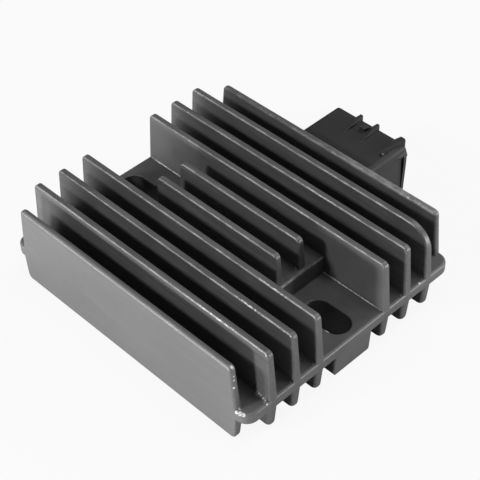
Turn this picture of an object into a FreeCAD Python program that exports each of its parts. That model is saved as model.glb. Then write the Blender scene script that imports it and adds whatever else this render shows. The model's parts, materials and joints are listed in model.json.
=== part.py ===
import FreeCAD, Part
import math
import os

# Voltage regulator rectifier of a motorcycle: one finned aluminium casting with a potted circuit
# underneath and a plastic connector at the back. The origin lies on the mounting plane, midway
# between the two mounting slots. X runs along the fins, +Y points to the connector, Z is up.
# Lengths are in millimetres.

# Base plate of the casting: its width, the raised floor with an ear at each end, its height
plate_width = 88.0
raised_floor_length = 55.0
ear_length = 24.1
plate_thickness = 4.1
plate_corner_radius = 4.2
plate_edge_round = 0.9
lower_depth = 8.55

# Cooling fins above the plate
fins_per_side = 4
channel_pitches = 3
fin_rise = 17.9
outer_fin_drop = 1.5
fin_tip_thickness = 2.1
fin_root_thickness = 2.9
fin_end_lean = 1.2
outer_face_offset = 1.25
outer_fin_setback = 4.3
outer_fin_lean = 1.7
fin_corner_radius = 1.7
broad_corner_radius = 8.0
fin_edge_round = 0.5
outer_fin_round = 1.0
fin_root_fillet = 1.2
channel_root_fillet = 0.4

# Raised floor in the channel and the two shorter fins on it
raised_floor_rise = 6.6
raised_floor_round = 0.8
middle_fin_setback = 2.0
middle_fin_lean = 0.8

# Fins below the plate
lower_tip_height = 0.3
lower_tip_thickness = 2.7
lower_root_thickness = 3.5
lower_end_lean = 0.8
lower_corner_radius = 2.2
front_wall_height = 0.1
front_wall_tip = 2.2
front_wall_corner_radius = 1.9
front_wall_edge_round = 0.5

# Mounting bosses and their slots
boss_width = 15.0
boss_edge_round = 1.4
boss_end_round = 1.0
slot_inset = 10.7
slot_length = 16.0
slot_width = 8.6
slot_edge_round = 0.3

# Tray for the circuit under the plate, and the pocket above it under the raised floor
tray_wall = 2.5
tray_slot_gap = 1.9
tray_front_inset = 0.2
tray_back_wall = 5.5
tray_rim_height = 0.6
tray_corner_radius = 3.0
pocket_end_step = 4.5
pocket_side_wall = 4.75
pocket_roof_thickness = 3.5
pocket_corner_radius = 2.0

# Connector housing
connector_offset = 0.7
shroud_top_height = 25.15
shroud_bottom_height = 2.3
shroud_reach = 20.0
shroud_wall = 1.8
shroud_corner_radius = 1.8
shroud_lip_round = 0.5
web_thickness = 5.2
tongue_side_step = 1.6
tongue_reach = 1.4
notch_clearance = 0.1

# Collar round the mouth of the connector, with sides that bulge below a shoulder, and the flare
# that runs up to it under the end guide
collar_length = 1.6
collar_bulge = 0.7
collar_bulge_radius = 3.0
collar_shoulder_radius = 0.8
shoulder_drop = 2.1
shoulder_depth = 1.8
bulge_depth = 2.6
flare_rise = 0.8
flare_inset = 0.25
flare_round = 1.2
flare_length = 8.0
flare_drift = 1.0

# Guides and catch on the connector
guide_width = 2.8
guide_ridge = 1.0
guide_rise = 2.0
guide_length = 8.9
guide_spacing = 7.1
guide_round = 0.3
end_guide_width = 4.2
end_guide_ridge = 1.9
end_guide_rise = 2.3
end_guide_length = 9.0
end_guide_drift = 2.6
end_guide_round = 0.6
catch_width = 2.1
catch_rise = 1.7
catch_length = 3.8
catch_setback = 0.8
key_width = 1.4
key_rise = 1.5
key_spacing = 9.0
nib_size = 1.3
nib_rise = 0.9
nib_inset = 1.8
nib_setback = 8.2

# Blade terminals
blade_width = 6.3
blade_thickness = 0.8
blade_tip_setback = 4.0
blade_tip_bevel = 1.2
blade_gap = 2.3
blade_side_gap = 1.45
blade_row_spacing = 8.0
leg_width = 2.6
leg_drop = 1.9
leg_wall_gap = 1.3
leg_row_gap = 1.1
leg_bend_radius = 0.5
leg_reach = 7.5

# Potting compound
potting_above_rim = 0.8

# Power board, its insulating sheet and the six power devices on it
sheet_thickness = 0.2
board_edge_gap = 1.5
board_thickness = 1.2
window_inset = 3.0
device_width = 10.0
device_depth = 8.6
device_height = 3.2
device_tab_depth = 2.2
device_tab_height = 1.2
device_lead_width = 1.0
device_lead_length = 2.4
device_lead_height = 0.7
device_end_gap = 6.0
thyristor_inset = 14.8
diode_inset = 16.6

# Control board in the pocket and what stands on it
control_edge_gap = 1.0
control_thickness = 1.0
control_standoff = 1.5
pin_diameter = 0.8
pin_pitch = 3.8
pins_per_end = 3
pin_stub = 0.3
chip_length = 8.6
chip_width = 3.9
chip_height = 1.6
chip_lead_length = 1.0
chip_lead_width = 0.5
chip_lead_height = 0.5
chip_leads_per_side = 7
chip_lead_pitch = 1.2
can_diameter = 3.4
can_length = 7.0
film_length = 7.0
film_width = 3.0
film_height = 2.8
film_y = 3.6
zener_length = 4.4
zener_width = 2.6
zener_height = 2.1
zener_y = -3.6
resistor_length = 3.2
resistor_width = 1.6
resistor_height = 0.6
resistor_spacing = 4.4

# Heights, measured from the mounting plane
plate_bottom = lower_depth
floor_height = plate_bottom + plate_thickness
fin_top = floor_height + fin_rise
outer_fin_top = fin_top - outer_fin_drop
raised_floor_top = floor_height + raised_floor_rise
pocket_roof = raised_floor_top - pocket_roof_thickness
potting_height = tray_rim_height + potting_above_rim
board_bottom = plate_bottom - sheet_thickness - board_thickness
leg_height = board_bottom - leg_drop
control_bottom = plate_bottom - sheet_thickness + control_standoff
control_top = control_bottom + control_thickness

# Half lengths and places along X
half_length = raised_floor_length / 2 + ear_length
outer_half_length = half_length - outer_fin_setback
slot_x = half_length - slot_inset
tray_half = slot_x - slot_length / 2 - tray_slot_gap - tray_wall
pocket_half_x = tray_half - pocket_end_step
window_half_x = pocket_half_x - window_inset
control_half_x = pocket_half_x - control_edge_gap
device_spacing = tray_half - board_edge_gap - device_end_gap - device_width / 2
blade_pitch = blade_width + blade_gap
shroud_half = blade_pitch + blade_width / 2 + blade_side_gap + shroud_wall
tongue_half = shroud_half - tongue_side_step

connector_shift = FreeCAD.Vector(connector_offset, 0, 0)

# Half widths and places along Y
half_width = plate_width / 2
outer_fin_y = half_width - outer_face_offset
fin_pitch = outer_fin_y / (channel_pitches / 2 + fins_per_side - 1)
channel_half = channel_pitches * fin_pitch / 2
tray_front_y = -half_width + tray_front_inset + tray_wall
tray_back_y = half_width - tray_back_wall
board_front_y = tray_front_y + board_edge_gap
board_back_y = tray_back_y - board_edge_gap - tongue_reach
pocket_half_y = channel_half - pocket_side_wall
window_half_y = pocket_half_y - window_inset
control_half_y = pocket_half_y - control_edge_gap
mouth_y = half_width + shroud_reach
web_y = half_width + web_thickness

# Places of the parts on the control board, with even gaps along X
part_run = can_length + chip_length + resistor_length + film_length
part_gap = (2 * window_half_x - part_run) / 5
can_x = -window_half_x + part_gap + can_length / 2
chip_x = can_x + can_length / 2 + part_gap + chip_length / 2
resistor_x = chip_x + chip_length / 2 + part_gap + resistor_length / 2
film_x = window_half_x - part_gap - film_length / 2

# Depth at which walls start inside the plate, and how far other pieces of one solid overlap
sink = plate_thickness / 2
overlap = 1.0
tolerance = 1e-4


def rounded_wire(corners, place):
    # Closed outline through (u, v, radius) corners, each rounded by a tangent arc
    edges = []
    start = None
    last = None
    count = len(corners)
    for index in range(count):
        u, v, radius = corners[index]
        before = corners[index - 1]
        after = corners[(index + 1) % count]
        a = FreeCAD.Vector(before[0] - u, before[1] - v, 0).normalize()
        b = FreeCAD.Vector(after[0] - u, after[1] - v, 0).normalize()
        corner = FreeCAD.Vector(u, v, 0)
        if radius > 0:
            half = a.getAngle(b) / 2
            run = radius / math.tan(half)
            middle = corner + (a + b).normalize() * (radius / math.sin(half) - radius)
            enter = place(corner + a * run)
            leave = place(corner + b * run)
        else:
            enter = place(corner)
            leave = enter
        if last is not None and last.distanceToPoint(enter) > 1e-6:
            edges.append(Part.makeLine(last, enter))
        if radius > 0:
            edges.append(Part.Arc(enter, place(middle), leave).toShape())
        if start is None:
            start = enter
        last = leave
    if last.distanceToPoint(start) > 1e-6:
        edges.append(Part.makeLine(last, start))
    return Part.Wire(edges)


def prism_x(corners, x_from, x_to):
    # Solid with a (y, z) outline that runs along X
    wire = rounded_wire(corners, lambda p: FreeCAD.Vector(x_from, p.x, p.y))
    return Part.Face(wire).extrude(FreeCAD.Vector(x_to - x_from, 0, 0))


def prism_y(corners, y_from, y_to):
    # Solid with an (x, z) outline that runs along Y
    wire = rounded_wire(corners, lambda p: FreeCAD.Vector(p.x, y_from, p.y))
    return Part.Face(wire).extrude(FreeCAD.Vector(0, y_to - y_from, 0))


def prism_z(corners, z_from, z_to):
    # Solid with an (x, y) outline that runs along Z
    wire = rounded_wire(corners, lambda p: FreeCAD.Vector(p.x, p.y, z_from))
    return Part.Face(wire).extrude(FreeCAD.Vector(0, 0, z_to - z_from))


def rectangle(u_from, u_to, v_from, v_to, radius=0.0):
    corners = [(u_from, v_from), (u_to, v_from), (u_to, v_to), (u_from, v_to)]
    return [(u, v, radius) for u, v in corners]


def box(x_from, x_to, y_from, y_to, z_from, z_to):
    return prism_z(rectangle(x_from, x_to, y_from, y_to), z_from, z_to)


def bar(section, side):
    # Wall along X, shaped by its (y, z) section and by its (x, z) side view
    ys = [corner[0] for corner in section]
    xs = [corner[0] for corner in side]
    along = prism_x(section, min(xs) - overlap, max(xs) + overlap)
    across = prism_y(side, min(ys) - overlap, max(ys) + overlap)
    return along.common(across)


def rounded_edges(solid, radius, wanted):
    edges = [edge for edge in solid.Edges if wanted(edge)]
    return solid.makeFillet(radius, edges)


def fin_side(half_at_top, half_at_foot, z_root, z_top, left_radius, right_radius):
    return [
        (-half_at_foot, z_root - sink, 0),
        (half_at_foot, z_root - sink, 0),
        (half_at_top, z_top, right_radius),
        (-half_at_top, z_top, left_radius),
    ]


def soften_fin(fin, z_low):
    # Rounds the two rims of a fin, each a chain up one end, along the tip and down the other end
    def on_rim(edge):
        box_of = edge.BoundBox
        upright = box_of.ZMax > z_low + overlap
        level = box_of.ZLength < tolerance
        along_y = box_of.XLength < tolerance and level
        across_tip = box_of.YLength > fin_tip_thickness * 0.9 and level
        return upright and not along_y and not across_tip

    return rounded_edges(fin, fin_edge_round, on_rim)


def tapered_wall(y, z_root, z_top, side):
    tip = fin_tip_thickness / 2
    root = fin_root_thickness / 2
    low = root + (root - tip) * sink / (z_top - z_root)
    section = [
        (y - low, z_root - sink, 0),
        (y + low, z_root - sink, 0),
        (y + tip, z_top, 0),
        (y - tip, z_top, 0),
    ]
    return soften_fin(bar(section, side), z_root)


def slanted_ends(foot, half_x, z_root):
    # Runs the root fillets out at their ends instead of cutting them off square
    rise = 2 * fin_root_fillet
    side = [
        (-half_x, z_root - sink, 0),
        (half_x, z_root - sink, 0),
        (half_x, z_root, 0),
        (half_x - rise, z_root + rise, 0),
        (rise - half_x, z_root + rise, 0),
        (-half_x, z_root, 0),
    ]
    return foot.common(prism_y(side, -half_width, half_width))


def fin_foot(y, z_root, z_top, half_at_foot, front_fillet, back_fillet):
    # Root fillets on both sides of a fin, carried up its tapered faces
    tip = fin_tip_thickness / 2
    root = fin_root_thickness / 2
    rise = 2 * fin_root_fillet
    high = root - (root - tip) * rise / (z_top - z_root)
    half_x = half_at_foot - fin_end_lean * (rise + sink) / fin_rise - 1.4 * fin_edge_round
    section = [
        (y - root - 1.1 * front_fillet, z_root - sink, 0),
        (y + root + 1.1 * back_fillet, z_root - sink, 0),
        (y + root + 1.1 * back_fillet, z_root, 0),
        (y + root, z_root, back_fillet),
        (y + high, z_root + rise, 0),
        (y - high, z_root + rise, 0),
        (y - root, z_root, front_fillet),
        (y - root - 1.1 * front_fillet, z_root, 0),
    ]
    return slanted_ends(prism_x(section, -half_x, half_x), half_x, z_root)


def inner_fin(y, right_radius):
    half_at_top = half_length - fin_end_lean
    side = fin_side(half_at_top, half_length, floor_height, fin_top, fin_corner_radius, right_radius)
    wall = tapered_wall(y, floor_height, fin_top, side)
    beside_channel = abs(abs(y) - channel_half) < fin_pitch / 2
    front_fillet = channel_root_fillet if beside_channel and y > 0 else fin_root_fillet
    back_fillet = channel_root_fillet if beside_channel and y < 0 else fin_root_fillet
    return wall.fuse(fin_foot(y, floor_height, fin_top, half_length, front_fillet, back_fillet))


def middle_fin(y):
    half = raised_floor_length / 2 - middle_fin_setback
    root_half = half + middle_fin_lean
    side = fin_side(half, root_half, raised_floor_top, fin_top, fin_corner_radius, fin_corner_radius)
    wall = tapered_wall(y, raised_floor_top, fin_top, side)
    return wall.fuse(fin_foot(y, raised_floor_top, fin_top, root_half, fin_root_fillet, fin_root_fillet))


def flush_wall(z_base, z_tip, y_base, y_tip, lean, radius, edge_round):
    # Wall with its outer face flush with the plate's edge, tapered inside, with soft rims
    half = outer_half_length
    half_tip = half - lean
    section = [
        (half_width, z_base, 0),
        (half_width, z_tip, 0),
        (y_tip, z_tip, 0),
        (y_base, z_base, 0),
    ]
    side = [
        (-half, z_base, 0),
        (half, z_base, 0),
        (half_tip, z_tip, radius),
        (-half_tip, z_tip, radius),
    ]

    def on_rim(edge):
        bounds = edge.BoundBox
        at_base = max(abs(bounds.ZMax - z_base), abs(bounds.ZMin - z_base)) < tolerance
        return not at_base and bounds.YLength < abs(y_tip - y_base) + tolerance

    return rounded_edges(bar(section, side), edge_round, on_rim)


def outer_fin():
    tip = outer_fin_y - fin_tip_thickness / 2
    root = outer_fin_y - fin_root_thickness / 2
    middle = floor_height - sink
    slope = (tip - root) / (outer_fin_top - floor_height)
    base = root + slope * (middle - floor_height)
    radius = fin_corner_radius
    wall = flush_wall(middle, outer_fin_top, base, tip, outer_fin_lean, radius, outer_fin_round)
    rise = 2 * fin_root_fillet
    foot = [
        (root - 1.1 * fin_root_fillet, floor_height - sink, 0),
        (outer_fin_y, floor_height - sink, 0),
        (outer_fin_y, floor_height + rise, 0),
        (root + slope * rise, floor_height + rise, 0),
        (root, floor_height, fin_root_fillet),
        (root - 1.1 * fin_root_fillet, floor_height, 0),
    ]
    foot_half = outer_half_length - 2 * outer_fin_round
    return wall.fuse(slanted_ends(prism_x(foot, -foot_half, foot_half), foot_half, floor_height))


def front_lower_wall():
    # Full length wall below the front fin, with one flat outer face from fin tip to wall tip
    middle = plate_bottom + sink
    root = outer_fin_y - lower_root_thickness / 2
    tip = half_width - front_wall_tip
    radius = front_wall_corner_radius
    rim = front_wall_edge_round
    return mirrored(flush_wall(middle, front_wall_height, root, tip, lower_end_lean, radius, rim))


def mirrored(solid):
    return solid.mirror(FreeCAD.Vector(0, 0, 0), FreeCAD.Vector(0, 1, 0))


def lower_fin(y):
    # Short fins at both ends of the underside, cut off by the tray between them, with soft rims
    base = plate_bottom + sink
    tip = lower_tip_thickness / 2
    root = lower_root_thickness / 2
    widest = root + (root - tip) * sink / (plate_bottom - lower_tip_height)
    section = [
        (y - tip, lower_tip_height, 0),
        (y + tip, lower_tip_height, 0),
        (y + widest, base, 0),
        (y - widest, base, 0),
    ]

    def on_rim(edge):
        bounds = edge.BoundBox
        return bounds.ZMin < base - tolerance and bounds.YLength < tip

    fin = bar(section, lower_side(lower_tip_height, lower_corner_radius))
    return rounded_edges(fin, tip * 0.9, on_rim)


def lower_side(z_low, radius):
    return [
        (-half_length + lower_end_lean, z_low, radius),
        (half_length - lower_end_lean, z_low, radius),
        (half_length, plate_bottom + sink, 0),
        (-half_length, plate_bottom + sink, 0),
    ]


def boss_row():
    half = boss_width / 2
    section = [
        (-half, 0, boss_edge_round),
        (half, 0, boss_edge_round),
        (half, plate_bottom + sink, 0),
        (-half, plate_bottom + sink, 0),
    ]
    return bar(section, lower_side(0, boss_end_round))


def raised_floor():
    half = raised_floor_length / 2
    side = [
        (-half, floor_height - sink, 0),
        (half, floor_height - sink, 0),
        (half, raised_floor_top, raised_floor_round),
        (-half, raised_floor_top, raised_floor_round),
    ]
    return prism_y(side, -channel_half, channel_half)


def slot_tool(x):
    half = slot_length / 2
    radius = slot_width / 2
    return prism_z(rectangle(x - half, x + half, -radius, radius, radius), -overlap, fin_top)


def soften_slots(casting):
    # Rounds the rims of both slots, on the ears above and on the bosses below
    reach = slot_length / 2 + tolerance
    radius = slot_width / 2 + tolerance

    def on_rim(edge):
        bounds = edge.BoundBox
        flat = bounds.ZLength < tolerance
        level = min(abs(bounds.ZMin - floor_height), abs(bounds.ZMin)) < tolerance
        middle = abs(bounds.XMin + bounds.XMax) / 2
        inside = abs(middle - slot_x) < reach and bounds.XLength < slot_length
        return flat and level and inside and bounds.YMin > -radius and bounds.YMax < radius

    return rounded_edges(casting, slot_edge_round, on_rim)


def tray_outline(grow):
    half = tray_half + grow
    return rectangle(-half, half, tray_front_y - grow, tray_back_y + grow, tray_corner_radius + grow)


def tray_space(z_low):
    space = prism_z(tray_outline(0.0), z_low, plate_bottom)
    half_x = pocket_half_x
    half_y = pocket_half_y
    corners = rectangle(-half_x, half_x, -half_y, half_y, pocket_corner_radius)
    return space.fuse(prism_z(corners, plate_bottom - overlap, pocket_roof)).removeSplitter()


def make_casting():
    outline = rectangle(-half_length, half_length, -half_width, half_width, plate_corner_radius)
    plate = prism_z(outline, plate_bottom, floor_height)
    plate = rounded_edges(plate, plate_edge_round, lambda e: e.BoundBox.ZLength < tolerance)
    pieces = [raised_floor(), boss_row()]
    pieces.append(outer_fin())
    pieces.append(mirrored(outer_fin()))
    pieces.append(front_lower_wall())
    pieces.append(middle_fin(-fin_pitch / 2))
    pieces.append(middle_fin(fin_pitch / 2))
    for step in range(fins_per_side - 1):
        y = channel_half + step * fin_pitch
        last_back_fin = step == fins_per_side - 2
        pieces.append(inner_fin(y, broad_corner_radius if last_back_fin else fin_corner_radius))
        pieces.append(inner_fin(-y, fin_corner_radius))
        pieces.append(lower_fin(y))
        pieces.append(lower_fin(-y))
    pieces.append(prism_z(tray_outline(tray_wall), tray_rim_height, plate_bottom + sink))
    casting = plate.multiFuse(pieces)
    for x in (-slot_x, slot_x):
        casting = casting.cut(slot_tool(x))
    casting = casting.cut(tray_space(-overlap))
    half_notch = tongue_half + notch_clearance
    notch_y = tray_back_y - overlap
    notch = box(-half_notch, half_notch, notch_y, half_width + overlap, -overlap, plate_bottom)
    notch.translate(connector_shift)
    return soften_slots(casting.cut(notch).removeSplitter())


def strip(points, width, x):
    # Bent metal strip along a (y, z) path, of even thickness
    half = blade_thickness / 2
    normals = []
    for index in range(len(points) - 1):
        dy = points[index + 1][0] - points[index][0]
        dz = points[index + 1][1] - points[index][1]
        size = math.hypot(dy, dz)
        normals.append((-dz / size, dy / size))
    left = []
    right = []
    for index, (y, z) in enumerate(points):
        before = normals[max(index - 1, 0)]
        after = normals[min(index, len(normals) - 1)]
        share = 1 + before[0] * after[0] + before[1] * after[1]
        my = (before[0] + after[0]) / share * half
        mz = (before[1] + after[1]) / share * half
        bend = before[0] * after[1] - before[1] * after[0]
        inner = leg_bend_radius
        outer = leg_bend_radius + blade_thickness
        if abs(bend) < 1e-6:
            radii = (0.0, 0.0)
        elif bend > 0:
            radii = (inner, outer)
        else:
            radii = (outer, inner)
        left.append((y + my, z + mz, radii[0]))
        right.append((y - my, z - mz, radii[1]))
    return prism_x(left + right[::-1], x - width / 2, x + width / 2)


def make_terminal(x, z, y_down):
    tip_y = mouth_y - blade_tip_setback
    foot_y = tray_back_y - leg_reach
    path = [(tip_y - overlap, z), (y_down, z), (y_down, leg_height), (foot_y, leg_height)]
    path.append((foot_y, board_bottom))
    leg = strip(path, leg_width, x)
    half = blade_width / 2
    neck_y = web_y - overlap
    corners = [
        (x - half, neck_y, 0),
        (x + half, neck_y, 0),
        (x + half, tip_y - blade_tip_bevel, 0),
        (x + half - blade_tip_bevel, tip_y, 0),
        (x - half + blade_tip_bevel, tip_y, 0),
        (x - half, tip_y - blade_tip_bevel, 0),
    ]
    blade = prism_z(corners, z - blade_thickness / 2, z + blade_thickness / 2)
    terminal = leg.fuse(blade).removeSplitter()
    terminal.translate(connector_shift)
    return terminal


def shroud_outline(inset):
    half = shroud_half - inset
    low = shroud_bottom_height + inset
    high = shroud_top_height - inset
    return rectangle(-half, half, low, high, shroud_corner_radius)


def collar_outline():
    # Mouth of the connector seen from the back: flat top, sides bulged below a shoulder
    bulge_half = shroud_half + collar_bulge
    shoulder = shroud_top_height - shoulder_drop
    bulge_high = shoulder - shoulder_depth
    bulge_low = bulge_high - bulge_depth
    right = [
        (shroud_half, shroud_bottom_height, shroud_corner_radius),
        (bulge_half, bulge_low, collar_bulge_radius),
        (bulge_half, bulge_high, collar_shoulder_radius),
        (shroud_half, shoulder, 0),
        (shroud_half, shroud_top_height, shroud_corner_radius),
    ]
    left = [(-x, z, radius) for x, z, radius in reversed(right)]
    return right + left


def sinking(corners, drift, length, drop):
    # Form that starts at the mouth with an (x, z) outline and sinks into the housing
    wire = rounded_wire(corners, lambda p: FreeCAD.Vector(p.x, mouth_y, p.y))
    return Part.Face(wire).extrude(FreeCAD.Vector(-drift, -length, -drop))


def guide(x_wall, width, ridge, rise, length, drift, radius):
    # Ramp on the top, upright on its +X side and highest at the mouth
    top = shroud_top_height
    run = (width - ridge) * overlap / rise
    corners = [
        (x_wall - width - run, top - overlap, 0),
        (x_wall, top - overlap, 0),
        (x_wall, top + rise, radius),
        (x_wall - ridge, top + rise, radius),
    ]
    return sinking(corners, drift, length, rise)


def catch_guide(x_wall):
    return guide(x_wall, guide_width, guide_ridge, guide_rise, guide_length, 0.0, guide_round)


def end_guide():
    x_wall = shroud_half - shroud_lip_round
    size = (end_guide_width, end_guide_ridge, end_guide_rise)
    return guide(x_wall, *size, end_guide_length, end_guide_drift, end_guide_round)


def flare():
    # Swelling of the +X side below the end guide
    high = shroud_top_height - shoulder_drop + overlap
    middle = shroud_top_height - shoulder_drop - shoulder_depth
    inside = shroud_half - overlap
    corners = [
        (inside, high, 0),
        (shroud_half - flare_inset, high, 0),
        (shroud_half + flare_rise, middle, flare_round),
        (inside, middle - bulge_depth, 0),
    ]
    return sinking(corners, flare_drift, flare_length, -flare_rise)


def make_housing(terminals):
    collar = prism_y(collar_outline(), mouth_y - collar_length, mouth_y)
    collar = rounded_edges(collar, shroud_lip_round, lambda e: abs(e.BoundBox.YMin - mouth_y) < tolerance)
    body = prism_y(shroud_outline(0.0), half_width, mouth_y - collar_length).fuse(collar)
    top = shroud_top_height
    left_wall = -guide_spacing / 2
    body = body.fuse(catch_guide(left_wall)).fuse(catch_guide(left_wall + guide_spacing))
    body = body.fuse(end_guide()).fuse(flare())
    front = mouth_y - catch_setback
    catch = [
        (front - catch_length, top - overlap, 0),
        (front, top - overlap, 0),
        (front, top, 0),
        (front - catch_length, top + catch_rise, 0.3),
    ]
    body = body.fuse(prism_x(catch, -catch_width / 2, catch_width / 2))
    nib_x = shroud_half - nib_inset
    nib_y = mouth_y - nib_setback
    nib = box(nib_x - nib_size, nib_x, nib_y - nib_size, nib_y, top - overlap, top + nib_rise)
    body = body.fuse(nib)
    cavity = prism_y(shroud_outline(shroud_wall), web_y, mouth_y + overlap)
    body = body.cut(cavity)
    low = shroud_bottom_height + shroud_wall
    key_end = mouth_y - 2 * shroud_lip_round
    for side in (-1, 1):
        left = side * key_spacing / 2 - key_width / 2
        key = box(left, left + key_width, web_y, key_end, low - overlap, low + key_rise)
        body = body.fuse(key)
    tongue_y = tray_back_y - tongue_reach
    tongue = rectangle(-tongue_half, tongue_half, tongue_y, half_width + overlap)
    body = body.fuse(prism_z(tongue, shroud_bottom_height, plate_bottom - notch_clearance))
    body.translate(connector_shift)
    for terminal in terminals:
        body = body.cut(terminal)
    return body.removeSplitter()


def tray_layer(z_low, z_high, half_x, half_y):
    # Flat layer over the tray's roof with an opening in front of the pocket
    half = tray_half - board_edge_gap
    layer = box(-half, half, board_front_y, board_back_y, z_low, z_high)
    return layer.cut(box(-half_x, half_x, -half_y, half_y, z_low - overlap, z_high + overlap))


def make_sheet():
    return tray_layer(plate_bottom - sheet_thickness, plate_bottom, pocket_half_x, pocket_half_y)


def make_power_board():
    return tray_layer(board_bottom, board_bottom + board_thickness, window_half_x, window_half_y)


def make_device(x, y):
    # Flat power package that hangs from the board by its metal tab
    half = device_width / 2
    front = y - device_depth / 2
    back = y + device_depth / 2
    body = box(x - half, x + half, front, back, board_bottom - device_height, board_bottom)
    tab_back = back + device_tab_depth
    tab = box(x - half, x + half, back, tab_back, board_bottom - device_tab_height, board_bottom)
    device = body.fuse(tab)
    lead_front = front - device_lead_length
    lead_bottom = board_bottom - device_lead_height
    for side in (-1, 1):
        left = x + side * device_width / 4 - device_lead_width / 2
        lead = box(left, left + device_lead_width, lead_front, front, lead_bottom, board_bottom)
        device = device.fuse(lead)
    return device.removeSplitter()


def pin_places():
    x = (window_half_x + control_half_x) / 2
    places = []
    for side in (-1, 1):
        for index in range(pins_per_end):
            places.append((side * x, (index - (pins_per_end - 1) / 2) * pin_pitch))
    return places


def make_pins():
    low = board_bottom + board_thickness
    high = control_top + pin_stub
    pins = []
    for x, y in pin_places():
        pins.append(Part.makeCylinder(pin_diameter / 2, high - low, FreeCAD.Vector(x, y, low)))
    return Part.Compound(pins)


def make_control_board(pins):
    outline = rectangle(-control_half_x, control_half_x, -control_half_y, control_half_y)
    return prism_z(outline, control_bottom, control_top).cut(pins)


def block_on_control(x, y, length, width, height):
    outline = rectangle(x - length / 2, x + length / 2, y - width / 2, y + width / 2)
    return prism_z(outline, control_top, control_top + height)


def make_chip():
    chip = block_on_control(chip_x, 0, chip_length, chip_width, chip_height)
    reach = chip_width + 2 * chip_lead_length
    for index in range(chip_leads_per_side):
        x = chip_x + (index - (chip_leads_per_side - 1) / 2) * chip_lead_pitch
        chip = chip.fuse(block_on_control(x, 0, chip_lead_width, reach, chip_lead_height))
    return chip.removeSplitter()


def make_can():
    # Electrolytic capacitor lying on a flat cradle
    radius = can_diameter / 2
    centre = FreeCAD.Vector(can_x - can_length / 2, 0, control_top + radius)
    can = Part.makeCylinder(radius, can_length, centre, FreeCAD.Vector(1, 0, 0))
    cradle = block_on_control(can_x, 0, can_length, can_diameter * 0.8, radius)
    return can.fuse(cradle).removeSplitter()


def export(shape, name):
    shape.exportStep("parts/" + name + ".step")
    print(name, "solids", len(shape.Solids), "volume", round(shape.Volume, 1), "valid", shape.isValid())


os.makedirs("parts", exist_ok=True)

row_mid = (shroud_top_height + shroud_bottom_height) / 2
upper_row = row_mid + blade_row_spacing / 2
lower_row = row_mid - blade_row_spacing / 2
near_drop = half_width + leg_wall_gap
far_drop = near_drop + leg_row_gap + blade_thickness
terminals = {
    "terminal_stator_1": make_terminal(-blade_pitch, upper_row, near_drop),
    "terminal_stator_2": make_terminal(0, upper_row, near_drop),
    "terminal_stator_3": make_terminal(blade_pitch, upper_row, near_drop),
    "terminal_positive": make_terminal(-blade_pitch / 2, lower_row, far_drop),
    "terminal_ground": make_terminal(blade_pitch / 2, lower_row, far_drop),
}
housing = make_housing(list(terminals.values()))
pins = make_pins()
inner = {
    "insulating_sheet": make_sheet(),
    "power_board": make_power_board(),
    "board_pins": pins,
    "control_board": make_control_board(pins),
    "control_chip": make_chip(),
    "capacitor_electrolytic": make_can(),
    "capacitor_film": block_on_control(film_x, film_y, film_length, film_width, film_height),
    "zener_diode": block_on_control(film_x, zener_y, zener_length, zener_width, zener_height),
}
for index in range(3):
    x = (index - 1) * device_spacing
    inner["thyristor_" + str(index + 1)] = make_device(x, board_front_y + thyristor_inset)
    inner["diode_" + str(index + 1)] = make_device(x, board_back_y - diode_inset)
    y = (index - 1) * resistor_spacing
    inner["resistor_" + str(index + 1)] = block_on_control(
        resistor_x, y, resistor_length, resistor_width, resistor_height
    )

potting = tray_space(potting_height)
for piece in list(inner.values()) + list(terminals.values()) + [housing]:
    potting = potting.cut(piece)

export(make_casting(), "heatsink_casting")
export(housing, "connector_housing")
export(potting.removeSplitter(), "potting_compound")
for name, shape in list(inner.items()) + list(terminals.items()):
    export(shape, name)
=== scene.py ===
import bpy
import bmesh
import json
import math
from mathutils import Matrix, Vector

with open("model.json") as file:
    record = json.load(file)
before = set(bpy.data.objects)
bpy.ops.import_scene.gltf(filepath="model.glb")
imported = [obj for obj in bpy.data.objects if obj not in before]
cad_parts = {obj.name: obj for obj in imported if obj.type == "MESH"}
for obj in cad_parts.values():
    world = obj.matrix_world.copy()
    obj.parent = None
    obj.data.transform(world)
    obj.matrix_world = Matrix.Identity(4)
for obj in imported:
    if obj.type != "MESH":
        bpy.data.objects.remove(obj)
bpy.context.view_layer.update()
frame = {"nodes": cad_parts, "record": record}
nodes = frame["nodes"]
print("frame loaded:", len(nodes), "nodes")


# small helpers for building a material out of nodes

def newMaterial(name):
    mat = bpy.data.materials.new(name)
    mat.use_nodes = True
    return mat, mat.node_tree, mat.node_tree.nodes["Principled BSDF"]


def objectCoords(tree):
    return tree.nodes.new("ShaderNodeTexCoord").outputs["Object"]


# a noise gives its scale and detail, and where needed a roughness and how far it is drawn out
def noiseAt(tree, coords, noise, usualRoughness=0.55):
    source = coords
    if "stretch" in noise:
        mapping = tree.nodes.new("ShaderNodeMapping")
        mapping.inputs["Scale"].default_value = noise["stretch"]
        tree.links.new(coords, mapping.inputs["Vector"])
        source = mapping.outputs["Vector"]
    node = tree.nodes.new("ShaderNodeTexNoise")
    node.inputs["Scale"].default_value = noise["scale"]
    node.inputs["Detail"].default_value = noise["detail"]
    node.inputs["Roughness"].default_value = noise.get("roughness", usualRoughness)
    tree.links.new(source, node.inputs["Vector"])
    return node.outputs["Fac"]


def rampOf(tree, value, low, high, fromValue=0.0, toValue=1.0):
    node = tree.nodes.new("ShaderNodeMapRange")
    node.interpolation_type = "SMOOTHSTEP"
    node.inputs["From Min"].default_value = low
    node.inputs["From Max"].default_value = high
    node.inputs["To Min"].default_value = fromValue
    node.inputs["To Max"].default_value = toValue
    tree.links.new(value, node.inputs["Value"])
    return node.outputs["Result"]


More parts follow.
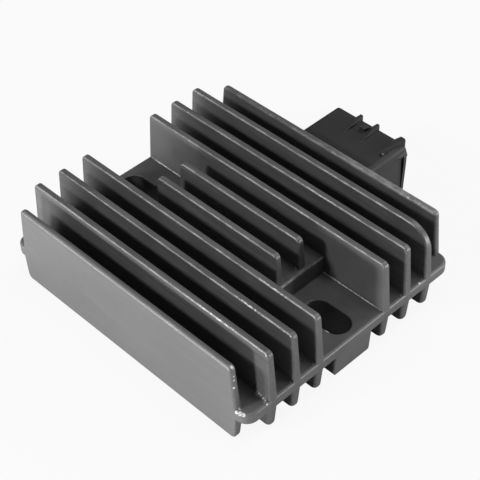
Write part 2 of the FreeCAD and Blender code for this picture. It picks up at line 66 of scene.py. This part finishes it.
def mathOf(tree, operation, a, b=None):
    node = tree.nodes.new("ShaderNodeMath")
    node.operation = operation
    for index, value in enumerate((a, b)):
        if value is None:
            continue
        if isinstance(value, float):
            node.inputs[index].default_value = value
        else:
            tree.links.new(value, node.inputs[index])
    return node.outputs[0]


def product(tree, *values):
    total = values[0]
    for value in values[1:]:
        total = mathOf(tree, "MULTIPLY", total, value)
    return total


def greatest(tree, *values):
    total = values[0]
    for value in values[1:]:
        total = mathOf(tree, "MAXIMUM", total, value)
    return total


def inverse(tree, value):
    return mathOf(tree, "SUBTRACT", 1.0, value)


# one number from a vector: its length, its distance from a place, or how far it points along a direction
def vectorOf(tree, operation, vector, other=None):
    node = tree.nodes.new("ShaderNodeVectorMath")
    node.operation = operation
    tree.links.new(vector, node.inputs[0])
    if other:
        node.inputs[1].default_value = other
    return node.outputs["Value"]


def mixColor(tree, factor, a, b):
    node = tree.nodes.new("ShaderNodeMix")
    node.data_type = "RGBA"
    for name, value in (("Factor_Float", factor), ("A_Color", a), ("B_Color", b)):
        socket = [s for s in node.inputs if s.identifier == name][0]
        if isinstance(value, tuple):
            socket.default_value = value + (1.0,)
        else:
            tree.links.new(value, socket)
    return [s for s in node.outputs if s.identifier == "Result_Color"][0]


def bumpFrom(tree, height, bump):
    node = tree.nodes.new("ShaderNodeBump")
    node.inputs["Strength"].default_value = bump["strength"]
    node.inputs["Distance"].default_value = bump["distance"]
    tree.links.new(height, node.inputs["Height"])
    return node.outputs["Normal"]


# full within half of a spot's reach, and gone past it; spots are in millimetres
def nearAny(tree, coords, spots):
    perMetre = 1000
    found = []
    for spot in spots:
        place = tuple(value / perMetre for value in spot["at"])
        reach = spot["reach"] / perMetre
        found.append(rampOf(tree, vectorOf(tree, "DISTANCE", coords, place), reach, reach / 2))
    return greatest(tree, *found)


castingLook = {
    "coat": (0.092, 0.092, 0.093),
    "coatDark": (0.076, 0.076, 0.077),
    "dull": (0.062, 0.062, 0.063),
    # worn paint, and also a painted highlight on the fins' near tip edges and on the raised floor's step edges
    "wornAndHighlight": (0.22, 0.22, 0.218),
    # bare metal, and also the painted highlight in the crease beside the raised floor
    "bareAndHighlight": (0.56, 0.555, 0.545),
    # painted light: a lighter colour for the front fin's face, for the extra light it catches
    "paintedLightFrontFace": (0.100, 0.100, 0.101),
    "roughness": (0.37, 0.48),
    "speckShare": 0.7,
    "markHeight": 1.6,
    "bump": {"strength": 0.22, "distance": 0.00006},
    "noises": {
        "blotch": {"scale": 70.0, "detail": 4.0},
        "grain": {"scale": 2400.0, "detail": 2.0},
        "streak": {"scale": 900.0, "detail": 3.0, "roughness": 0.6, "stretch": (0.035, 1.0, 1.0)},
        "broken": {"scale": 520.0, "detail": 4.0, "roughness": 0.65, "stretch": (0.4, 1.0, 1.0)},
        "patch": {"scale": 55.0, "detail": 1.0},
        "speck": {"scale": 1300.0, "detail": 2.0, "roughness": 0.7},
        "torn": {"scale": 700.0, "detail": 3.0, "roughness": 0.6},
        "fleck": {"scale": 1500.0, "detail": 2.0, "roughness": 0.7},
    },
    # every range below says where an effect starts and where it is full, and some give its share at both
    "levels": {
        "blotch": (0.35, 0.65),
        "gloss": (0.3, 0.7),
        "streak": (0.42, 0.60, 1.0, 0.0),
        "marked": (0.0, 1.0, 0.15, 0.75),
        "broken": (0.42, 0.64, 0.10, 1.0),
        "rubbedTip": (0.1, 1.0, 0.4, 0.85),
        "patch": (0.44, 0.60),
        "speck": (0.50, 0.57),
        "torn": (0.36, 0.56, 0.25, 0.75),
        "fleck": (0.46, 0.53),
    },
    # edges are picked by the way they face, the fins' by frontEdge and the raised floor's by earEdges
    "frontEdge": (0.0, -0.7071, 0.7071),
    "earEdges": [(0.7071, 0.0, 0.7071), (-0.7071, 0.0, 0.7071)],
    "facings": {
        "finEdge": (0.80, 0.97),
        "finEdgeWide": (0.80, 0.92),
        "crease": (0.86, 0.97),
        "stepEdge": (0.90, 0.99),
    },
    # in metres, along x from the middle or toward the right end
    "alongX": {
        "bay": (0.0265, 0.0285),
        "creaseStart": (0.0272, 0.0278),
        "creaseEnd": (0.0495, 0.0465),
        "stepEnd": (0.0285, 0.0280),
        "towardEnd": (-0.020, 0.045, 0.65, 1.0),
        "nearEnd": (0.004, 0.032),
        "rubbedTip": (-0.010, 0.020),
    },
    # in metres, from the front fin at -y to the back fin at +y
    "alongY": {
        "behindFront": (-0.0432, -0.0415),
        "offFront": (-0.0415, -0.0400, 0.2, 1.0),
        "bay": (0.0160, 0.0150),
        "creaseFront": (0.0100, 0.0105),
        "creaseBack": (0.0150, 0.0145),
        "backFin": (0.0408, 0.0416),
        "beforeBack": (0.0438, 0.0425, 0.4, 1.0),
    },
    # in metres above the floor
    "alongZ": {
        "onPlate": (0.0140, 0.0132),
        "crease": (0.0133, 0.0131),
        "stepBottom": (0.0180, 0.0184),
        "stepTop": (0.0200, 0.0196),
        "onTip": (0.0262, 0.0275),
        "rubbedTip": (0.0276, 0.0285),
    },
    # burrs by the feet of the two front fins, each a short row of flecked spots
    "burrs": [
        {"at": (47.3, -43.7, 12.5), "reach": 0.7},
        {"at": (48.3, -43.3, 12.5), "reach": 0.8},
        {"at": (49.4, -42.9, 12.4), "reach": 0.7},
        {"at": (47.2, -42.4, 12.8), "reach": 0.5},
        {"at": (47.3, -35.2, 13.3), "reach": 0.5},
        {"at": (48.2, -35.3, 13.2), "reach": 0.5},
        {"at": (49.2, -35.5, 13.0), "reach": 0.5},
        {"at": (50.2, -35.7, 12.9), "reach": 0.6},
        {"at": (51.4, -35.8, 12.5), "reach": 0.5},
    ],
    # single bright dots where the coat is knocked off an edge
    "knocks": [
        {"at": (45.7, -42.9, 25.6), "reach": 0.45},
        {"at": (45.8, -43.0, 24.2), "reach": 0.50},
        {"at": (46.2, -43.3, 21.5), "reach": 0.50},
        {"at": (45.2, -42.8, 28.8), "reach": 0.60},
        {"at": (49.5, -33.9, 29.7), "reach": 0.55},
        {"at": (27.5, 11.9, 19.3), "reach": 0.55},
        {"at": (51.2, 29.4, 12.5), "reach": 0.45},
    ],
}


def makeCastingCoat(look):
    mat, tree, shader = newMaterial("castingCoat")
    coords = objectCoords(tree)
    normal = tree.nodes.new("ShaderNodeNewGeometry").outputs["Normal"]
    place = tree.nodes.new("ShaderNodeSeparateXYZ")
    tree.links.new(coords, place.inputs[0])
    x, y, z = place.outputs["X"], place.outputs["Y"], place.outputs["Z"]
    fromMiddleX = mathOf(tree, "ABSOLUTE", x)
    fromMiddleY = mathOf(tree, "ABSOLUTE", y)

    def noise(name):
        return noiseAt(tree, coords, look["noises"][name])

    def fade(value, group, name):
        return rampOf(tree, value, *look[group][name])

    # even coat with soft blotches, and painted light on the front fin's face: its colour is made lighter for
    # the extra light that face catches
    blotch = noise("blotch")
    color = mixColor(tree, fade(blotch, "levels", "blotch"), look["coatDark"], look["coat"])
    behindFront = fade(y, "alongY", "behindFront")
    color = mixColor(tree, inverse(tree, behindFront), color, look["paintedLightFrontFace"])

    # fine dull marks drawn out along the fins, weak on the plate and in the ear bays
    streak = noise("streak")
    onPlate = fade(z, "alongZ", "onPlate")
    inBay = product(tree, fade(fromMiddleY, "alongY", "bay"), fade(fromMiddleX, "alongX", "bay"))
    onBlades = inverse(tree, greatest(tree, onPlate, inBay))
    beforeBack = fade(y, "alongY", "beforeBack")
    marked = fade(product(tree, behindFront, onBlades, beforeBack), "levels", "marked")
    drawn = product(tree, fade(streak, "levels", "streak"), marked)
    color = mixColor(tree, drawn, color, look["dull"])

    # worn line along the near edge of each fin tip, which is also a painted highlight on the edges that face
    # the front lamp; broken, and weak on the front fin
    towardFront = vectorOf(tree, "DOT_PRODUCT", normal, look["frontEdge"])
    broken = fade(noise("broken"), "levels", "broken")
    onTip = fade(z, "alongZ", "onTip")
    offFront = fade(y, "alongY", "offFront")
    rubbedAndHighlight = product(tree, fade(towardFront, "facings", "finEdge"), onTip, broken, offFront,
                     fade(x, "alongX", "towardEnd"))
    color = mixColor(tree, rubbedAndHighlight, color, look["wornAndHighlight"])

    # bright specks in that line, in patches toward the right ends
    specks = product(tree, fade(towardFront, "facings", "finEdgeWide"), onTip,
                     fade(noise("speck"), "levels", "speck"), fade(noise("patch"), "levels", "patch"),
                     fade(x, "alongX", "nearEnd"), offFront)
    color = mixColor(tree, mathOf(tree, "MULTIPLY", specks, look["speckShare"]), color, look["bareAndHighlight"])

    # the back fin's tip is rubbed over its whole width toward the right end
    backTip = product(tree, fade(y, "alongY", "backFin"), fade(z, "alongZ", "rubbedTip"),
                      fade(x, "alongX", "rubbedTip"), fade(broken, "levels", "rubbedTip"))
    color = mixColor(tree, backTip, color, look["wornAndHighlight"])

    # bright crease at the foot of the back wall of the channel, beside the raised floor: bare metal in part
    # and a painted highlight in part
    creaseBareAndHighlight = product(tree, fade(towardFront, "facings", "crease"), fade(z, "alongZ", "crease"),
                       fade(fromMiddleX, "alongX", "creaseStart"), fade(fromMiddleX, "alongX", "creaseEnd"),
                       fade(y, "alongY", "creaseFront"), fade(y, "alongY", "creaseBack"))
    torn = fade(noise("torn"), "levels", "torn")
    color = mixColor(tree, product(tree, creaseBareAndHighlight, torn), color, look["bareAndHighlight"])

    # painted highlight along the top edge at both ends of the raised floor
    towardEar = greatest(tree, *(vectorOf(tree, "DOT_PRODUCT", normal, edge) for edge in look["earEdges"]))
    paintedStepHighlight = product(tree, fade(towardEar, "facings", "stepEdge"), fade(z, "alongZ", "stepBottom"),
                     fade(z, "alongZ", "stepTop"), fade(fromMiddleX, "alongX", "stepEnd"))
    color = mixColor(tree, product(tree, paintedStepHighlight, broken), color, look["wornAndHighlight"])

    # chips to bare metal
    fleck = fade(noise("fleck"), "levels", "fleck")
    chips = greatest(tree, product(tree, nearAny(tree, coords, look["burrs"]), fleck),
                     nearAny(tree, coords, look["knocks"]))
    color = mixColor(tree, chips, color, look["bareAndHighlight"])
    tree.links.new(color, shader.inputs["Base Color"])

    # gloss follows the blotches, and the paint's grain and the marks stand out a little
    gloss = rampOf(tree, blotch, *look["levels"]["gloss"], *look["roughness"])
    tree.links.new(gloss, shader.inputs["Roughness"])
    marks = mathOf(tree, "MULTIPLY", streak, mathOf(tree, "MULTIPLY", marked, look["markHeight"]))
    height = mathOf(tree, "ADD", noise("grain"), marks)
    tree.links.new(bumpFrom(tree, height, look["bump"]), shader.inputs["Normal"])
    return mat


plasticLook = {
    "colorLow": (0.01785, 0.01785, 0.0187),
    "colorHigh": (0.02415, 0.02415, 0.0253),
    # a lighter dot on the nib at the connector's top edge
    "nibDotColor": (0.16, 0.16, 0.16),
    "nibDots": [{"at": (13.8, 54.6, 26.1), "reach": 0.5}],
    "roughness": (0.55, 0.67),
    "specular": 0.30,
    "soft": {"scale": 90.0, "detail": 3.0},
    "softLevels": (0.3, 0.7),
    "grain": {"scale": 1800.0, "detail": 2.0},
    "bump": {"strength": 0.15, "distance": 0.00004},
}


def makePlastic(look):
    mat, tree, shader = newMaterial("connectorPlastic")
    coords = objectCoords(tree)
    soft = noiseAt(tree, coords, look["soft"])
    color = mixColor(tree, soft, look["colorLow"], look["colorHigh"])
    color = mixColor(tree, nearAny(tree, coords, look["nibDots"]), color, look["nibDotColor"])
    tree.links.new(color, shader.inputs["Base Color"])
    gloss = rampOf(tree, soft, *look["softLevels"], *look["roughness"])
    tree.links.new(gloss, shader.inputs["Roughness"])
    shader.inputs["Specular IOR Level"].default_value = look["specular"]
    grain = noiseAt(tree, coords, look["grain"])
    tree.links.new(bumpFrom(tree, grain, look["bump"]), shader.inputs["Normal"])
    return mat


pottingLook = {
    "color": (0.027, 0.027, 0.029),
    "dust": (0.070, 0.068, 0.064),
    "roughness": (0.24, 0.40),
    "swell": {"scale": 38.0, "detail": 2.0},
    "swellLevels": (0.3, 0.7),
    "speck": {"scale": 1600.0, "detail": 2.0, "roughness": 0.7},
    "dusty": (0.60, 0.70, 0.0, 0.7),
    "cloudy": (0.35, 0.70, 0.0, 0.25),
    "bump": {"strength": 0.35, "distance": 0.0012},
}


def makePotting(look):
    mat, tree, shader = newMaterial("pottingEpoxy")
    coords = objectCoords(tree)
    swell = noiseAt(tree, coords, look["swell"])
    dusty = rampOf(tree, noiseAt(tree, coords, look["speck"]), *look["dusty"])
    cloudy = rampOf(tree, swell, *look["cloudy"])
    color = mixColor(tree, greatest(tree, dusty, cloudy), look["color"], look["dust"])
    tree.links.new(color, shader.inputs["Base Color"])
    gloss = rampOf(tree, swell, *look["swellLevels"], *look["roughness"])
    tree.links.new(gloss, shader.inputs["Roughness"])
    tree.links.new(bumpFrom(tree, swell, look["bump"]), shader.inputs["Normal"])
    return mat


# hidden pieces and terminals: one soft noise each, that varies colour and roughness around the given ones
plainLook = {
    "soft": {"scale": 300.0, "detail": 3.0},
    "softLevels": (0.3, 0.7),
    "colorSpread": 0.12,
    "roughnessSpread": 0.05,
    "slots": {
        "insulation": {"name": "insulatingSheet", "color": (0.70, 0.66, 0.55), "roughness": 0.5},
        "board_metal": {"name": "boardMetal", "color": (0.55, 0.56, 0.57), "roughness": 0.35, "metal": 1.0},
        "tinned_copper": {"name": "tinnedCopper", "color": (0.70, 0.70, 0.70), "roughness": 0.3, "metal": 1.0},
        "board_green": {"name": "boardGreen", "color": (0.03, 0.16, 0.06), "roughness": 0.4},
        "epoxy_black": {"name": "epoxyBlack", "color": (0.03, 0.03, 0.03), "roughness": 0.55},
        "can_metal": {"name": "canMetal", "color": (0.75, 0.75, 0.76), "roughness": 0.3, "metal": 1.0},
        "film_yellow": {"name": "filmYellow", "color": (0.70, 0.50, 0.06), "roughness": 0.3},
        "ceramic_dark": {"name": "ceramicDark", "color": (0.08, 0.08, 0.09), "roughness": 0.5},
        "terminal_tin": {"name": "terminalTin", "color": (0.72, 0.71, 0.68), "roughness": 0.28, "metal": 1.0},
    },
}


def makePlain(look, finish):
    mat, tree, shader = newMaterial(finish["name"])
    soft = noiseAt(tree, objectCoords(tree), look["soft"])
    low = tuple(c * (1 - look["colorSpread"]) for c in finish["color"])
    high = tuple(c * (1 + look["colorSpread"]) for c in finish["color"])
    tree.links.new(mixColor(tree, soft, low, high), shader.inputs["Base Color"])
    shader.inputs["Metallic"].default_value = finish.get("metal", 0.0)
    spread = look["roughnessSpread"]
    gloss = rampOf(tree, soft, *look["softLevels"], finish["roughness"] - spread, finish["roughness"] + spread)
    tree.links.new(gloss, shader.inputs["Roughness"])
    return mat


bySlot = {
    "casting_coat": makeCastingCoat(castingLook),
    "connector_plastic": makePlastic(plasticLook),
    "potting": makePotting(pottingLook),
}
for slot, finish in plainLook["slots"].items():
    bySlot[slot] = makePlain(plainLook, finish)

slotOf = {part["node"]: part["material_slot"] for part in frame["record"]["subparts"]}
for name, node in nodes.items():
    node.data.materials.clear()
    node.data.materials.append(bySlot[slotOf[name]])
print("materials set on", len(nodes), "nodes")


# camera, fitted to the fins, slots and plate corners of the photo; angles in degrees, lens in mm
cameraSettings = {
    "azimuth": 46.766, "elevation": 43.406, "roll": -1.887,
    "lens": 102.18, "sensor": 36.0, "nearest": 0.01,
    "place": (0.22276, -0.20628, 0.30387),
    "shiftX": 0.00585, "shiftY": -0.00054,
}


def addCamera(settings):
    az = math.radians(settings["azimuth"])
    el = math.radians(settings["elevation"])
    roll = math.radians(settings["roll"])
    back = Vector((math.sin(az) * math.cos(el), -math.cos(az) * math.cos(el), math.sin(el)))
    right = Vector((0, 0, 1)).cross(back).normalized()
    up = back.cross(right)
    rightTurned = right * math.cos(roll) + up * math.sin(roll)
    upTurned = up * math.cos(roll) - right * math.sin(roll)
    data = bpy.data.cameras.new("photoCamera")
    data.lens = settings["lens"]
    data.sensor_width = settings["sensor"]
    data.shift_x = settings["shiftX"]
    data.shift_y = settings["shiftY"]
    data.clip_start = settings["nearest"]
    cam = bpy.data.objects.new("photoCamera", data)
    bpy.context.scene.collection.objects.link(cam)
    turn = Matrix((rightTurned, upTurned, back)).transposed().to_4x4()
    cam.matrix_world = Matrix.Translation(settings["place"]) @ turn
    bpy.context.scene.camera = cam


addCamera(cameraSettings)
print("camera set")


# square and oblong soft lamps, all at one distance from a point low in the part
lampSettings = {
    "distance": 0.9,
    "target": (0.0, 0.0, 0.012),
    "lamps": [
        {"name": "keyFront", "toward": (-0.28, -1.0, 0.72), "width": 0.14, "height": 0.14, "power": 5.4},
        {"name": "frontRight", "toward": (0.13, -1.0, 0.05), "width": 0.12, "height": 0.12, "power": 7.8},
        {"name": "left", "toward": (-0.55, -1.0, 0.07), "width": 0.50, "height": 0.12, "power": 5.4},
        {"name": "backTop", "toward": (0.2, 1.0, 1.0), "width": 0.35, "height": 0.35, "power": 2.8},
        {"name": "sideRight", "toward": (1.0, 0.75, 0.14), "width": 0.30, "height": 0.20, "power": 6.3},
        {"name": "top", "toward": (0.1, 0.15, 1.0), "width": 0.30, "height": 0.30, "power": 2.4},
    ],
}


def addLamp(lamp, target, distance):
    data = bpy.data.lights.new(lamp["name"], "AREA")
    data.shape = "RECTANGLE"
    data.size = lamp["width"]
    data.size_y = lamp["height"]
    data.energy = lamp["power"]
    light = bpy.data.objects.new(lamp["name"], data)
    bpy.context.scene.collection.objects.link(light)
    direction = Vector(lamp["toward"]).normalized()
    light.location = Vector(target) + direction * distance
    light.rotation_euler = direction.to_track_quat("Z", "Y").to_euler()
    light.visible_camera = False


for lamp in lampSettings["lamps"]:
    addLamp(lamp, lampSettings["target"], lampSettings["distance"])
print("lamps set:", len(lampSettings["lamps"]))


floorSettings = {
    "halfWidth": 3.0,
    "color": (0.45, 0.45, 0.45, 1.0),
    "roughness": 0.9,
    "white": (1.0, 1.0, 1.0, 1.0),
    "whiteStrength": 1.0,
    "whiteShare": 0.91,  # the rest is lit by the lamps, and shows the shadow
    "shaded": (0.060, 0.085),  # in metres from the middle, where reflections go from dark to white
}


def addFloor(settings):
    mesh = bpy.data.meshes.new("studioFloor")
    shape = bmesh.new()
    bmesh.ops.create_grid(shape, x_segments=1, y_segments=1, size=settings["halfWidth"])
    shape.to_mesh(mesh)
    shape.free()
    floor = bpy.data.objects.new("studioFloor", mesh)
    bpy.context.scene.collection.objects.link(floor)
    mat, tree, shader = newMaterial("floorWhite")
    shader.inputs["Base Color"].default_value = settings["color"]
    shader.inputs["Roughness"].default_value = settings["roughness"]
    glow = tree.nodes.new("ShaderNodeEmission")
    glow.inputs["Color"].default_value = settings["white"]
    glow.inputs["Strength"].default_value = settings["whiteStrength"]
    # the white shows to the camera, and in reflections away from the part
    path = tree.nodes.new("ShaderNodeLightPath")
    clear = rampOf(tree, vectorOf(tree, "LENGTH", objectCoords(tree)), *settings["shaded"])
    mirrored = greatest(tree, path.outputs["Is Glossy Ray"], path.outputs["Is Transmission Ray"])
    seen = greatest(tree, path.outputs["Is Camera Ray"], product(tree, mirrored, clear))
    mix = tree.nodes.new("ShaderNodeMixShader")
    tree.links.new(mathOf(tree, "MULTIPLY", seen, settings["whiteShare"]), mix.inputs[0])
    tree.links.new(shader.outputs[0], mix.inputs[1])
    tree.links.new(glow.outputs[0], mix.inputs[2])
    tree.links.new(mix.outputs[0], tree.nodes["Material Output"].inputs["Surface"])
    mesh.materials.append(mat)


addFloor(floorSettings)
print("floor set")


worldSettings = {"color": (1.0, 1.0, 1.0, 1.0), "seen": 1.0, "light": 0.07}


# white to the camera, and a weak fill for the part
def addWorld(settings):
    world = bpy.data.worlds.new("studioWorld")
    world.use_nodes = True
    bpy.context.scene.world = world
    tree = world.node_tree
    seen = tree.nodes["Background"]
    fill = tree.nodes.new("ShaderNodeBackground")
    for shader, strength in ((seen, settings["seen"]), (fill, settings["light"])):
        shader.inputs["Color"].default_value = settings["color"]
        shader.inputs["Strength"].default_value = strength
    path = tree.nodes.new("ShaderNodeLightPath")
    mix = tree.nodes.new("ShaderNodeMixShader")
    tree.links.new(path.outputs["Is Camera Ray"], mix.inputs[0])
    tree.links.new(fill.outputs[0], mix.inputs[1])
    tree.links.new(seen.outputs[0], mix.inputs[2])
    tree.links.new(mix.outputs[0], tree.nodes["World Output"].inputs["Surface"])


addWorld(worldSettings)
bpy.context.scene.view_settings.view_transform = "Standard"
print("background set")
